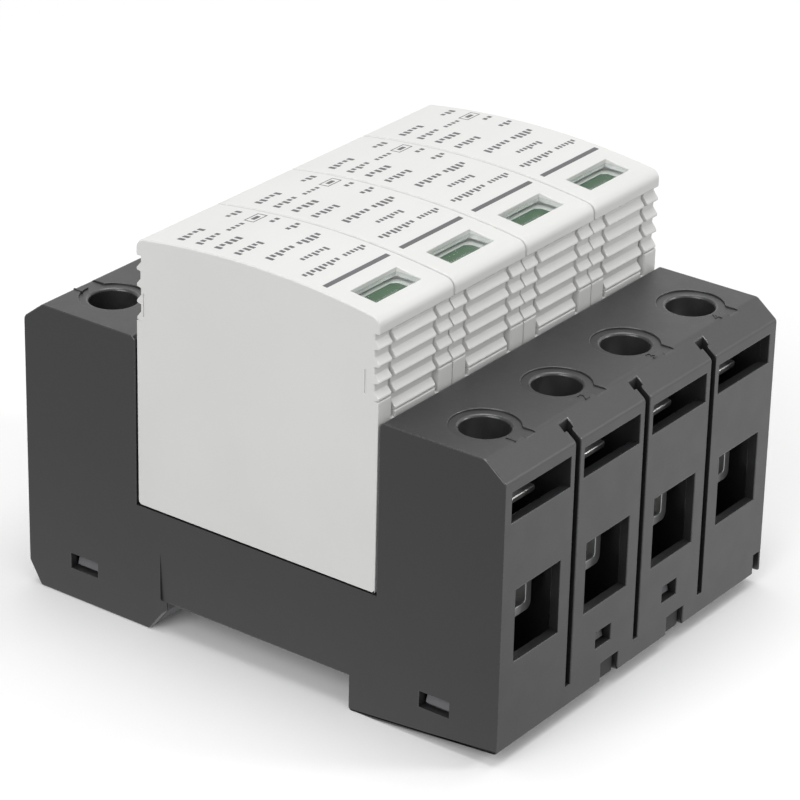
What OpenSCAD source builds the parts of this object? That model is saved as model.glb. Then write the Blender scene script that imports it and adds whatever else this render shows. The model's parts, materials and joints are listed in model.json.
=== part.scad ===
// Four-pole surge arrester for a mounting rail: a base with plug-in cartridges.
// X runs along the rail, Y up the panel and Z out from the rail. The feet stand on z = 0.
// The front terminals are at -Y and the rear ones at +Y.

/* [Rail and poles] */
// Pitch of the poles along the rail
pole_pitch = 18; // [17.6:0.1:18.4]
// Width of the mounting rail over its lips
rail_width = 35; // [34.6:0.1:35.4]
// Thickness of the rail's lips
rail_lip = 1; // [0.9:0.05:1.1]
// Reach of the hooks and latches under the rail's lips
lip_grip = 1.3; // [1:0.1:1.6]

/* [Base] */
// Length of the base across the rail
base_length = 90; // [89:0.25:92]
// Height of the terminal blocks
block_top = 48.8; // [48.2:0.1:49.6]
// Height of the rail seat above the feet
rail_seat = 5.5; // [5.3:0.1:5.9]
// Height of the floor under the cartridges
bay_floor = 20.7; // [20.4:0.1:21.2]
// Thickness of the housing's outer walls
wall = 1.7; // [1.5:0.1:1.8]

/* [Terminals] */
// Width of a wire entry
entry_width = 11.2; // [10.8:0.1:11.6]
// Height of a wire entry
entry_height = 11.7; // [11:0.1:12]
// Height of a busbar slot
busbar_slot = 4.75; // [4.4:0.05:5]
// Radius of a screw well
well_radius = 3.75; // [3.6:0.05:3.9]
// Radius of a terminal screw's thread
screw_radius = 2.4; // [2.2:0.05:2.5]
// Thickness of the contact sheet
sheet = 1; // [0.8:0.05:1.1]

/* [Cartridge] */
// Length of a cartridge
cartridge_length = 45; // [44.5:0.1:45.4]
// Height of a cartridge's crown above the feet
cartridge_top = 66.5; // [65.5:0.25:68.5]
// Rise of the crown from its ends to its middle
crown_rise = 1.8; // [1.2:0.1:2.2]
// Width of the status window
window_width = 10.7; // [10:0.1:11]
// Length of the status window
window_length = 4.6; // [4.2:0.1:5]

/* [Hidden] */
$fn = 48;
poles = 4;
arc_steps = 6;
edge_round = 0.3;
sole_round = 0.4;
face_round = 0.8;
top_round = 1.2;
front = -1;
rear = 1;
ends = [front, rear];
latch_poles = [2, 3];

// Clearances
fit = 0.1;
slide_gap = 0.2;
thread_gap = 0.05;
grip_gap = 0.05;
cut = 1;

// Base outline
half_x = poles * pole_pitch / 2;
half_y = base_length / 2;
rail_play = 0.7;
slot_half = rail_width / 2 + rail_play;
chamfer_y = 3.7;
chamfer_z = 2.9;
front_sole = 2.3;
knee_run = 5;
sole_knee = slot_half + knee_run;
rear_sole_y = 2.25;
rear_sole_z = 3.7;
slot_lead_y = 2.4;
slot_lead_z = 3.2;
bay_play = 0.3;
bay_half = cartridge_length / 2 + bay_play;
bay_lead = 0.6;
bay_wall = 2;
floor_wall = 1.8;
roof = 2;
cavity_half = pole_pitch / 2 - wall;
cavity_out = half_y - wall;
cavity_in = bay_half + bay_wall;
cavity_top = block_top - roof;

// Rail hooks and latches, all set from the underside of the rail's lips
hook_top = rail_seat - rail_lip - fit;
hook_reach = rail_width / 2 - lip_grip;
hook_height = 1.5;
hook_lead = 0.8;
hook_root = 0.7;
hook_inner = 6;
hook_outer = 24;
latch_offset = 2.1;
latch_half = 2.15;
latch_travel = 3;
flange_half = 3.2;
flange_height = 1.3;
latch_height = 2.1;
latch_low = hook_top - latch_height;
tail_rise = 0.8;
tail_drop = 0.3;
tail_round = 0.6;
tail_recess = 0.9;
notch_play = 1.1;
notch_top = hook_top + notch_play;
guide_half = 5;
guide_rise = 1.7;
guide_top = hook_top + guide_rise;
spring_coil = 0.95;
spring_wire = 0.18;
spring_turns = 9;
spring_length = 10;
spring_inset = 0.8;
spring_start = sole_knee + spring_inset;
spring_end = spring_start + spring_length;
post_depth = 1.2;
post_half = 1.2;
latch_window_half = 1.5;

// Bottom cover
cover_fit = 0.1;
cover_half = half_x - wall - cover_fit;
cover_front = cavity_out - cover_fit;
cover_inset = 4;
cover_rear = half_y - cover_inset;
cover_plate = 1.8;
cover_rear_top = 2;
web_plate = 1.6;
step_wall = 1.6;
nose_back = slot_half + step_wall;
rear_step_wall = 3.4;
cover_web_top = rail_seat + web_plate;
tab_thickness = 1.3;
sill_root = 3;
lug_reach = 0.6;
side_window = [31, 36.4];
side_window_low = 5.2;
side_window_top = 7.75;
end_window_half = 2;
end_window_low = 8.7;
end_window_top = 11.4;
lug_play = 0.3;

// Side and end face details
relief_depth = 0.4;
relief_top = 14;
slit_half = 0.6;
slit_depth = 9;
slit_low = 5.7;
pocket_half = 1.15;
pocket_out = 1.8;
pocket_in = 2.95;
pocket_depth = 5;
corner_notch_width = 1.7;
corner_notch_inset = 0.4;
corner_notch_top = 5.7;
corner_notch_depth = 1;

// Terminals, set from the block's top and its outer face
well_chamfer = 0.3;
well_collar = 1.3;
collar_drop = 4.6;
collar_low = block_top - collar_drop;
mark_radius = 5.3;
mark_tab = [0.4, 2.9];
mark_depth = 0.3;
busbar_drop = 4.8;
busbar_top = block_top - busbar_drop;
busbar_half = cavity_half - grip_gap;
leg_drop = 10.2;
leg_top = block_top - leg_drop;
leg_gap = 10;
low_leg_top = leg_top - leg_gap;
leg_inset = 5.1;
leg_out = half_y - leg_inset;
leg_half = 6;
low_leg_half = 3.4;
entry_half = entry_width / 2;
entry_drop = 0.7;
entry_top = low_leg_top - entry_drop;
bend = 1.2;
back_y = cavity_in + fit + sheet / 2;
leg_hole = 0.3;
head_radius = 3.3;
head_height = 3;
head_slot = 0.9;
head_slot_depth = 1.4;
head_chamfer = 0.4;
tip_chamfer = 0.5;
cross_half = 2;
cage_wall = 1.5;
cage_half = 5.2;
cage_inset = 4.6;
cage_clear = 3.3;
cage_front = half_y - cage_inset;
cage_back = back_y + sheet / 2 + cage_clear;
cage_length = cage_front - cage_back;
screw_y = (cage_front + cage_back) / 2;
cage_top_wall = 2.4;
cage_bore_height = 8.3;
cage_low_gap = 0.15;
cage_roof = low_leg_top + cage_low_gap;
cage_bottom = cage_roof - cage_bore_height;
cage_corner = 1.2;
mouth_corner = 0.5;
cage_ribs = 3;
cage_rib_height = 0.3;
cage_rib_pitch = cage_length / (cage_ribs + 1);

// Plug-in contacts under the bay floor
blade_half = 3;
blade_sheet = 1;
blade_clear = 5.6;
blade_tip = rail_seat + blade_clear;
socket_half = 3.2;
socket_depth = 1.6;
socket_low = blade_tip - socket_depth;
socket_drop = 4.9;
socket_top = bay_floor - socket_drop;
socket_flare = 0.8;
flare_gap = 0.8;
socket_flare_top = bay_floor - floor_wall - flare_gap;
blade_slot = 0.4;

// Cartridge
module_gap = 0.2;
shell_half = (pole_pitch - module_gap) / 2;
shell_end = cartridge_length / 2;
shell_bottom = bay_floor + slide_gap;
shell_wall = 1.5;
shell_corner = 1.6;
crown_steps = 16;
crown_radius = (shell_end * shell_end + crown_rise * crown_rise) / (2 * crown_rise);
grip_drop = 4.4;
grip_top = cartridge_top - grip_drop;
grip_pitch = 2.65;
grip_lead = 1.9;
grip_first = grip_top - grip_lead;
grip_depth = 0.8;
grip_foot = 0.95;
grip_under = 0.55;
grip_crest = [-0.35, -0.05];
grip_rows = 4;
tongue_rows = 5;
tongue_half = 4.95;
tongue_groove = 0.7;
tongue_groove_depth = 1.2;
side_line = 0.3;
side_line_depth = 0.2;
side_line_drop = 5.9;
side_line_length = 3.7;
side_line_high = grip_top - side_line_drop;
side_line_low = side_line_high - side_line_length;
side_line_insets = [2.4, 1.45];
side_line_ys = [side_line_insets[0] - shell_end, shell_end - side_line_insets[1]];
room_half = shell_half - shell_wall;
end_wall = 2.1;
room_end = shell_end - end_wall;
crown_wall = 2.2;
room_top = cartridge_top - crown_wall;
window_inset = 5.6;
window_y = window_inset - shell_end;
lens_sink = 0.25;
window_crown = 0.75;
lens_top = cartridge_top - crown_rise + window_crown - lens_sink;
lens_flange = 0.4;
lens_lip = 1;
lens_gap = 0.2;
flag_top = room_top - lens_flange - lens_gap;
flag_sheet = 0.9;
flag_skirt = 2.6;
flag_wall = 0.8;
flag_half = 6.4;
flag_margin = 0.8;
flag_length = window_length + 2 * flag_margin;
pad_top = flag_top - flag_sheet - slide_gap;
pad_half = flag_half - flag_wall - fit;
pad_height = 1.3;
pad_run = 10.4;
pad_end = window_y + pad_run;
carrier_plate = 2;
carrier_half = room_half - fit;
carrier_end = room_end - fit;
post_length = 3;
post_half_x = 4.5;
varistor_half = 3;
varistor_corner = 3;
varistor_stand = 4.2;
varistor_head = 1.2;
varistor_play = 0.3;
varistor_low = shell_bottom + varistor_stand;
varistor_top = pad_top - pad_height - varistor_head;
varistor_end = carrier_end - post_length - varistor_play;
saddle_inner = 5;
saddle_outer = 8;
plate_margin = 5;
plate_half = varistor_end - plate_margin;
plate_low = varistor_low + plate_margin;
plate_top = varistor_top - plate_margin;
plate_sheet = 0.8;
tail_half = 3;
blade_y = varistor_end - tail_half;
tail_in = blade_y - tail_half;
tail_out = blade_y + tail_half;
tab_gap = 0.5;
tab_low = shell_bottom + carrier_plate + tab_gap;

// Colours
dark_grey = [0.29, 0.29, 0.295];
cover_grey = [0.25, 0.25, 0.255];
latch_black = [0.08, 0.08, 0.085];
white = [0.93, 0.93, 0.92];
clear = [0.85, 0.9, 0.9, 0.4];
green = [0.3, 0.47, 0.32];
red = [0.7, 0.1, 0.08];
blue = [0.12, 0.2, 0.42];
tin = [0.8, 0.8, 0.78];
zinc = [0.66, 0.67, 0.66];

indices = [1 : poles];
function end_name(side) = side == front ? "front" : "rear";
function numbered(base) = [for (i = indices) str(base, "_", i)];
function ended(base) = [for (side = ends) for (i = indices) str(base, "_", end_name(side), "_", i)];
function latched(base) = [for (i = latch_poles) str(base, "_", i)];

// Outlines

function unit(v) = v / norm(v);

// The points that round the corner at q, between p and s, to the radius r
function corner_arc(p, q, s, r) =
    let (
        u = unit(p - q),
        v = unit(s - q),
        half = acos(u * v) / 2,
        center = q + unit(u + v) * r / sin(half),
        from = q + u * r / tan(half) - center,
        to = q + v * r / tan(half) - center,
        start = atan2(from[1], from[0]),
        turn = (atan2(to[1], to[0]) - start + 540) % 360 - 180
    )
    [for (k = [0 : arc_steps])
        let (angle = start + turn * k / arc_steps)
        center + r * [cos(angle), sin(angle)]];

function flat(c) = [c[0], c[1]];

// A closed outline from corners of the form [a, b, radius]
function rounded(corners) =
    let (n = len(corners))
    [for (i = [0 : n - 1])
        let (c = corners[i])
        each c[2] == 0
            ? [flat(c)]
            : corner_arc(flat(corners[(i + n - 1) % n]), flat(c), flat(corners[(i + 1) % n]), c[2])];

// An open line whose inner corners are rounded to one radius
function bent(points, r) =
    let (n = len(points))
    [for (i = [0 : n - 1])
        each i == 0 || i == n - 1 ? [points[i]] : corner_arc(points[i - 1], points[i], points[i + 1], r)];

// A point of a line moved sideways by d, with the bends mitred
function shifted(p, i, d) =
    let (
        a = i == 0 ? p[1] - p[0] : p[i] - p[i - 1],
        b = i == len(p) - 1 ? a : p[i + 1] - p[i],
        across = unit([-a[1], a[0]]) + unit([-b[1], b[0]])
    )
    p[i] + across * 2 * d / (across * across);

// The outline of a sheet of the given thickness that follows a line
function band(p, thickness) = concat(
    [for (i = [0 : len(p) - 1]) shifted(p, i, thickness / 2)],
    [for (i = [len(p) - 1 : -1 : 0]) shifted(p, i, -thickness / 2)]
);

// Shared shapes

module span(low, high) {
    translate(low) cube(high - low);
}

// A profile of [y, z] points drawn out along X
module prism_x(points, low, high) {
    translate([low, 0, 0]) rotate([90, 0, 90]) linear_extrude(height = high - low) polygon(points);
}

// A profile of [x, z] points drawn out along Y
module prism_y(points, low, high) {
    translate([0, high, 0]) rotate([90, 0, 0]) linear_extrude(height = high - low) polygon(points);
}

// Shapes are written for the front end, and the rear end has their mirror image
module at_end(side) {
    if (side == front) children();
    else mirror([0, 1, 0]) children();
}

function pole_x(i) = (i - (poles + 1) / 2) * pole_pitch;

module at_pole(i) {
    translate([pole_x(i), 0, 0]) children();
}

module at_poles() {
    for (i = indices) at_pole(i) children();
}

module both_ends() {
    for (side = ends) at_end(side) children();
}

module both_sides() {
    children();
    mirror([1, 0, 0]) children();
}

// Base

base_outline = rounded([
    [-half_y, front_sole, sole_round],
    [-half_y, block_top - chamfer_z, face_round],
    [chamfer_y - half_y, block_top, top_round],
    [-bay_half - bay_lead, block_top, 0],
    [-bay_half, block_top - bay_lead, 0],
    [-bay_half, bay_floor, 0],
    [bay_half, bay_floor, 0],
    [bay_half, block_top - bay_lead, 0],
    [bay_half + bay_lead, block_top, 0],
    [half_y - chamfer_y, block_top, top_round],
    [half_y, block_top - chamfer_z, face_round],
    [half_y, rear_sole_z, sole_round],
    [half_y - rear_sole_y, 0, sole_round],
    [slot_half + slot_lead_y, 0, 0],
    [slot_half, slot_lead_z, 0],
    [slot_half, rail_seat, 0],
    [-slot_half, rail_seat, 0],
    [-slot_half, 0, edge_round],
    [-sole_knee, 0, 0]
]);

// Room for the cover: the partitions end above it
front_room = guide_top + fit;
rear_room = cover_rear_top + fit;
web_room = cover_web_top + fit;

module pole_cavity() {
    span([-cavity_half, -cavity_out, front_room], [cavity_half, -cavity_in, cavity_top]);
    span([-cavity_half, cavity_in, rear_room], [cavity_half, cavity_out, cavity_top]);
    span([-cavity_half, -cavity_in - cut, web_room], [cavity_half, cavity_in + cut, bay_floor - floor_wall]);
}

module cover_room() {
    half = half_x - wall;
    span([-half, -cavity_out, -cut], [half, -slot_half - cut, front_room]);
    span([-half, -slot_half - step_wall - cut, -cut], [half, slot_half + rear_step_wall + cut, web_room]);
    span([-half, slot_half, -cut], [half, cover_rear + cover_fit, rear_room]);
}

module well_collar() {
    height = cavity_top + cut - collar_low;
    translate([0, -screw_y, collar_low]) cylinder(r = well_radius + well_collar, h = height);
}

module screw_well() {
    height = block_top - collar_low + 2 * cut;
    mouth = well_radius + well_chamfer + cut;
    translate([0, -screw_y, collar_low - cut]) cylinder(r = well_radius, h = height);
    translate([0, -screw_y, block_top - mark_depth - well_chamfer])
        cylinder(r1 = well_radius, r2 = mouth, h = well_chamfer + cut);
}

// A shallow field round each well, with a tab to one side that is open towards the end face
module well_mark() {
    translate([0, -screw_y, block_top - mark_depth]) cylinder(r = mark_radius, h = cut);
    span([mark_tab[0], -half_y, block_top - mark_depth], [mark_tab[1], -screw_y, block_top + cut]);
}

module busbar_opening() {
    low = busbar_top - busbar_slot;
    span([-busbar_half, -half_y - cut, low], [busbar_half, cut - cavity_out, busbar_top]);
}

module wire_opening() {
    low = entry_top - entry_height;
    span([-entry_half, -half_y - cut, low], [entry_half, cut - cavity_out, entry_top]);
}

module blade_opening() {
    half = blade_half + blade_slot;
    across = blade_sheet / 2 + blade_slot;
    low = bay_floor - floor_wall - cut;
    span([-half, -blade_y - across, low], [half, across - blade_y, bay_floor + cut]);
}

module barrier_slit() {
    pocket_low = block_top - pocket_depth;
    inner = pocket_in - half_y;
    span([-slit_half, -half_y - cut, slit_low], [slit_half, slit_depth - half_y, pocket_low]);
    span([-slit_half, -half_y - cut, slit_low], [slit_half, inner, block_top + cut]);
    span([-pocket_half, pocket_out - half_y, pocket_low], [pocket_half, inner, block_top + cut]);
}

module side_snap_window() {
    inner = half_x - wall - cut;
    span([inner, -side_window[1], side_window_low], [half_x + cut, -side_window[0], side_window_top]);
}

module end_snap_window() {
    half = end_window_half;
    span([-half, -half_y - cut, end_window_low], [half, cut - cavity_out, end_window_top]);
}

module latch_notch() {
    half = latch_half + slide_gap;
    span([latch_offset - half, -half_y - cut, -cut], [latch_offset + half, cut - cavity_out, notch_top]);
}

module side_relief() {
    low = rail_seat - cut;
    out = half_x + cut;
    points = [[half_x - relief_depth, low], [out, low], [out, relief_top], [half_x, relief_top]];
    prism_y(points, -slot_half, slot_half);
}

module corner_notch() {
    x = half_x - corner_notch_inset;
    span([x - corner_notch_width, -half_y - cut, -cut], [x, corner_notch_depth - half_y, corner_notch_top]);
}

module base_housing() {
    color(dark_grey) difference() {
        union() {
            difference() {
                prism_x(base_outline, -half_x, half_x);
                at_poles() pole_cavity();
                cover_room();
            }
            at_poles() both_ends() well_collar();
        }
        at_poles() both_ends() {
            screw_well();
            well_mark();
            busbar_opening();
            wire_opening();
            blade_opening();
        }
        for (i = [1 : poles - 1])
            translate([pole_x(i) + pole_pitch / 2, 0, 0]) both_ends() barrier_slit();
        both_sides() both_ends() side_snap_window();
        both_sides() side_relief();
        for (i = latch_poles) at_pole(i) {
            both_ends() end_snap_window();
            latch_notch();
        }
        corner_notch();
    }
}

// Bottom cover

function sole_z(y) = front_sole * (y - sole_knee) / (half_y - sole_knee);

cover_outline = [
    [-cover_front, sole_z(cover_front)],
    [-sole_knee, 0],
    [-slot_half, 0],
    [-slot_half, rail_seat],
    [slot_half, rail_seat],
    [slot_half, slot_lead_z],
    [slot_half + slot_lead_y, 0],
    [cover_rear, 0],
    [cover_rear, cover_rear_top],
    [slot_half + rear_step_wall, cover_rear_top],
    [slot_half + rear_step_wall, cover_web_top],
    [-slot_half - step_wall, cover_web_top],
    [-slot_half - step_wall, cover_plate],
    [-sole_knee, cover_plate],
    [-cover_front, sole_z(cover_front) + cover_plate]
];

hook_outline = [
    [slot_half + hook_root, hook_top],
    [hook_reach, hook_top],
    [hook_reach, hook_top - hook_height + hook_lead],
    [hook_reach + hook_lead, hook_top - hook_height],
    [slot_half + hook_root, hook_top - hook_height]
];

// The block that a latch runs in, standing on the cover's front plate
module latch_guide() {
    outline = [
        [-cover_front, sole_z(cover_front)],
        [-sole_knee, 0],
        [-slot_half, 0],
        [-slot_half, guide_top],
        [-cover_front, guide_top]
    ];
    translate([latch_offset, 0, 0]) prism_x(outline, -guide_half, guide_half);
}

// The stepped way through the guide, open below and wider where the nose moves, with a post for the spring
module latch_way() {
    far = half_y + cut;
    near = hook_reach;
    translate([latch_offset, 0, 0]) difference() {
        union() {
            half = latch_half + slide_gap;
            span([-half, -far, -cut], [half, -near, hook_top + fit]);
            wide = flange_half + fit;
            span([-wide, -far, hook_top - flange_height - fit], [wide, -near, hook_top + fit]);
            nose_end = nose_back + latch_travel + slide_gap;
            span([-wide, -nose_end, -cut], [wide, -near, hook_top + fit]);
        }
        post_end = spring_end + post_depth;
        span([-post_half, -post_end, latch_low + fit], [post_half, -spring_end, hook_top + cut]);
    }
}

module side_tab() {
    low = side_window[0] + lug_play;
    high = side_window[1] - lug_play;
    top = side_window_top - lug_play;
    bottom = side_window_low + lug_play;
    inner = cover_half - tab_thickness;
    lug = [[inner, bottom], [cover_half + lug_reach, bottom], [cover_half, top], [inner, top]];
    span([inner, -high, cover_plate], [cover_half, -low, top]);
    prism_y(lug, -high, -low);
}

module end_tab(bottom) {
    half = end_window_half - lug_play;
    top = end_window_top - lug_play;
    low = end_window_low + lug_play;
    inner = tab_thickness - cover_front;
    lug = [[inner, low], [-cover_front - lug_reach, low], [-cover_front, top], [inner, top]];
    span([-half, -cover_front, bottom], [half, inner, top]);
    prism_x(lug, -half, half);
}

// The rear end tabs stand on a sill that reaches out from the rear plate
module rear_tab() {
    half = end_window_half - lug_play;
    inner = sill_root - cover_rear;
    end_tab(rear_room);
    span([-half, -cover_front, rear_room], [half, inner, rear_room + cover_plate]);
    span([-half, -cover_rear, cover_rear_top - fit], [half, inner, rear_room + cover_plate]);
}

module bottom_cover() {
    color(cover_grey) difference() {
        union() {
            prism_x(cover_outline, -cover_half, cover_half);
            both_sides() {
                prism_x(hook_outline, hook_inner, hook_outer);
                both_ends() side_tab();
            }
            for (i = latch_poles) at_pole(i) {
                latch_guide();
                end_tab(guide_top - fit);
                at_end(rear) rear_tab();
            }
        }
        for (i = latch_poles) at_pole(i) latch_way();
    }
}

// Rail latch and its spring

nose_outline = [
    [-nose_back, hook_top],
    [-hook_reach, hook_top],
    [-hook_reach, latch_low + hook_lead],
    [-hook_reach - hook_lead, latch_low],
    [-nose_back, latch_low]
];

module rail_latch(i) {
    stem_end = cavity_out - latch_travel - slide_gap;
    tail_near = cavity_out + fit;
    tail_far = half_y - tail_recess;
    window_end = spring_end + post_depth + slide_gap;
    flange_low = hook_top - flange_height;
    tail = rounded([
        [-latch_half, latch_low - tail_drop, tail_round],
        [latch_half, latch_low - tail_drop, tail_round],
        [latch_half, hook_top + tail_rise, edge_round],
        [-latch_half, hook_top + tail_rise, edge_round]
    ]);
    color(latch_black) at_pole(i) translate([latch_offset, 0, 0]) difference() {
        union() {
            prism_x(nose_outline, -flange_half, flange_half);
            span([-flange_half, -stem_end, flange_low], [flange_half, -slot_half - cut, hook_top]);
            span([-latch_half, -tail_near - fit, latch_low], [latch_half, -slot_half - cut, hook_top]);
            prism_y(tail, -tail_far, -tail_near);
        }
        span([-latch_window_half, -window_end, -cut], [latch_window_half, -spring_start, guide_top]);
    }
}

module latch_spring(i) {
    sides = 6;
    per_turn = 16;
    count = spring_turns * per_turn;
    length = spring_length - 2 * (spring_wire + fit);
    start = -spring_end + spring_wire + fit;
    points = [for (k = [0 : count]) for (s = [0 : sides - 1])
        let (
            turn = 360 * k / per_turn,
            around = 360 * s / sides,
            reach = spring_coil + spring_wire * cos(around)
        )
        [reach * cos(turn), start + length * k / count + spring_wire * sin(around), reach * sin(turn)]];
    walls = [for (k = [0 : count - 1]) for (s = [0 : sides - 1])
        let (next = (s + 1) % sides)
        [k * sides + s, k * sides + next, (k + 1) * sides + next, (k + 1) * sides + s]];
    first = [for (s = [sides - 1 : -1 : 0]) s];
    last = [for (s = [0 : sides - 1]) count * sides + s];
    color(zinc) at_pole(i) translate([latch_offset, 0, hook_top - latch_height / 2])
        polyhedron(points, concat([first], walls, [last]));
}

// Terminals

module contact_strip(i, side) {
    leaf = blade_sheet / 2 + grip_gap + sheet / 2;
    upper = bent([
        [-leg_out, leg_top - sheet / 2],
        [-back_y, leg_top - sheet / 2],
        [-back_y, socket_top],
        [-blade_y - leaf - bend - sheet, socket_top]
    ], bend);
    socket = bent([
        [-back_y + bend + sheet, socket_top],
        [-blade_y - leaf, socket_top],
        [-blade_y - leaf, socket_low],
        [-blade_y + leaf, socket_low],
        [-blade_y + leaf, socket_top + socket_flare],
        [-blade_y + leaf + socket_flare, socket_flare_top]
    ], leaf - grip_gap);
    color(tin) at_pole(i) at_end(side) difference() {
        union() {
            prism_x(band(upper, sheet), -leg_half, leg_half);
            prism_x(band(socket, sheet), -socket_half, socket_half);
            span([-low_leg_half, -leg_out, low_leg_top - sheet], [low_leg_half, -back_y, low_leg_top]);
        }
        translate([0, -screw_y, leg_top - sheet - cut])
            cylinder(r = screw_radius + leg_hole, h = sheet + 2 * cut);
    }
}

module clamp_cage(i, side) {
    inner = cage_half - cage_wall;
    top = cage_roof + cage_top_wall;
    bottom = cage_bottom - cage_wall;
    ring = rounded([
        [-cage_half, bottom, cage_corner],
        [cage_half, bottom, cage_corner],
        [cage_half, top, cage_corner],
        [-cage_half, top, cage_corner]
    ]);
    mouth = rounded([
        [-inner, cage_bottom, mouth_corner],
        [inner, cage_bottom, mouth_corner],
        [inner, cage_roof, mouth_corner],
        [-inner, cage_roof, mouth_corner]
    ]);
    rib_size = cage_rib_height;
    rib = [[-rib_size, -rib_size], [rib_size, -rib_size], [0, rib_size]];
    color(zinc) at_pole(i) at_end(side) difference() {
        union() {
            difference() {
                prism_y(ring, -cage_front, cage_length - cage_front);
                prism_y(mouth, -cage_front - cut, cage_length - cage_front + cut);
            }
            for (k = [0 : cage_ribs - 1])
                translate([0, cage_rib_pitch * (k + 1) - cage_front, cage_bottom])
                    prism_x(rib, -inner - cage_wall / 2, inner + cage_wall / 2);
        }
        translate([0, -screw_y, cage_roof - cut])
            cylinder(r = screw_radius + thread_gap, h = cage_top_wall + 2 * cut);
    }
}

module terminal_screw(i, side) {
    tip = low_leg_top + grip_gap;
    seat = leg_top + grip_gap;
    top = seat + head_height;
    slot_low = top - head_slot_depth;
    half = head_slot / 2;
    far = head_radius + cut;
    color(zinc) at_pole(i) at_end(side) translate([0, -screw_y, 0]) difference() {
        rotate_extrude() polygon([
            [0, tip],
            [screw_radius - tip_chamfer, tip],
            [screw_radius, tip + tip_chamfer],
            [screw_radius, seat],
            [head_radius, seat],
            [head_radius, top - head_chamfer],
            [head_radius - head_chamfer, top],
            [0, top]
        ]);
        span([-far, -half, slot_low], [far, half, top + cut]);
        span([-half, -cross_half, slot_low], [half, cross_half, top + cut]);
    }
}

// Cartridges

function crown_z(y) = cartridge_top - crown_radius + sqrt(crown_radius * crown_radius - y * y);

crown_reach = shell_end - 2 * shell_corner;
shell_outline = rounded(concat(
    [[-shell_end, shell_bottom, edge_round]],
    [[-shell_end, crown_z(shell_end), shell_corner]],
    [for (k = [0 : crown_steps])
        let (y = crown_reach * (2 * k / crown_steps - 1))
        [y, crown_z(y), 0]],
    [[shell_end, crown_z(shell_end), shell_corner]],
    [[shell_end, shell_bottom, edge_round]]
));

// A ridge with a long slope above its crest and a short steep face below
module grip_ridge(z, low, high) {
    root = grip_depth + shell_wall / 4 - shell_end;
    foot = grip_depth - shell_end;
    ridge = [
        [root, z - grip_under],
        [foot, z - grip_under],
        [-shell_end, z + grip_crest[0]],
        [-shell_end, z + grip_crest[1]],
        [foot, z + grip_foot],
        [root, z + grip_foot]
    ];
    prism_x(ridge, low, high);
}

function grip_low(rows) = grip_first - (rows - 1) * grip_pitch - grip_under;

module grip_field() {
    back = grip_depth - shell_end;
    out = -shell_end - cut;
    span([-shell_half - cut, out, grip_low(grip_rows)], [shell_half + cut, back, grip_top]);
    span([-tongue_half, out, grip_low(tongue_rows)], [tongue_half, back, grip_top]);
}

module grip_grooves() {
    both_sides() span(
        [tongue_half, -shell_end - cut, grip_low(tongue_rows) - grip_foot],
        [tongue_half + tongue_groove, tongue_groove_depth - shell_end, grip_top]
    );
}

module grip_ridges() {
    strip = tongue_half + tongue_groove;
    for (k = [0 : tongue_rows - 1]) grip_ridge(grip_first - k * grip_pitch, -tongue_half, tongue_half);
    for (k = [0 : grip_rows - 1]) both_sides() grip_ridge(grip_first - k * grip_pitch, strip, shell_half);
}

module side_lines() {
    for (y = side_line_ys) both_sides() span(
        [shell_half - side_line_depth, y - side_line / 2, side_line_low],
        [shell_half + cut, y + side_line / 2, side_line_high]
    );
}

module window_span(grow, low, high) {
    half = window_width / 2 + grow;
    across = window_length / 2 + grow;
    span([-half, window_y - across, low], [half, window_y + across, high]);
}

module cartridge_shell(i) {
    color(white) at_pole(i) difference() {
        union() {
            difference() {
                prism_x(shell_outline, -shell_half, shell_half);
                both_ends() grip_field();
            }
            both_ends() grip_ridges();
        }
        both_ends() grip_grooves();
        side_lines();
        span([-room_half, -room_end, shell_bottom - cut], [room_half, room_end, room_top]);
        window_span(0, room_top - cut, cartridge_top + cut);
    }
}

module window_lens(i) {
    color(clear) at_pole(i) {
        window_span(-grip_gap, room_top - lens_flange, lens_top);
        window_span(lens_lip, room_top - lens_flange, room_top - grip_gap);
    }
}

module status_flag(i) {
    flag_front = window_y - flag_length / 2;
    flag_back = window_y + flag_length / 2;
    inner = flag_half - flag_wall;
    color(green) at_pole(i) difference() {
        span([-flag_half, flag_front, flag_top - flag_skirt], [flag_half, flag_back, flag_top]);
        span(
            [-inner, flag_front - cut, flag_top - flag_skirt - cut],
            [inner, flag_back + cut, flag_top - flag_sheet]
        );
    }
}

module cartridge_carrier(i) {
    floor_top = shell_bottom + carrier_plate;
    color(red) at_pole(i) difference() {
        union() {
            span([-carrier_half, -carrier_end, shell_bottom], [carrier_half, carrier_end, floor_top]);
            both_ends() span(
                [-post_half_x, -carrier_end, shell_bottom],
                [post_half_x, post_length - carrier_end, pad_top - pad_height / 2]
            );
            span([-pad_half, -carrier_end, pad_top - pad_height], [pad_half, pad_end, pad_top]);
            both_ends() span(
                [-varistor_half, -saddle_outer, shell_bottom],
                [varistor_half, -saddle_inner, varistor_low - grip_gap]
            );
        }
        both_ends() span(
            [-blade_half - slide_gap, -blade_y - blade_sheet / 2 - slide_gap, shell_bottom - cut],
            [blade_half + slide_gap, -blade_y + blade_sheet / 2 + slide_gap, floor_top + cut]
        );
    }
}

module varistor(i) {
    outline = rounded([
        [-varistor_end, varistor_low, varistor_corner],
        [varistor_end, varistor_low, varistor_corner],
        [varistor_end, varistor_top, varistor_corner],
        [-varistor_end, varistor_top, varistor_corner]
    ]);
    color(blue) at_pole(i) prism_x(outline, -varistor_half, varistor_half);
}

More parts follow.
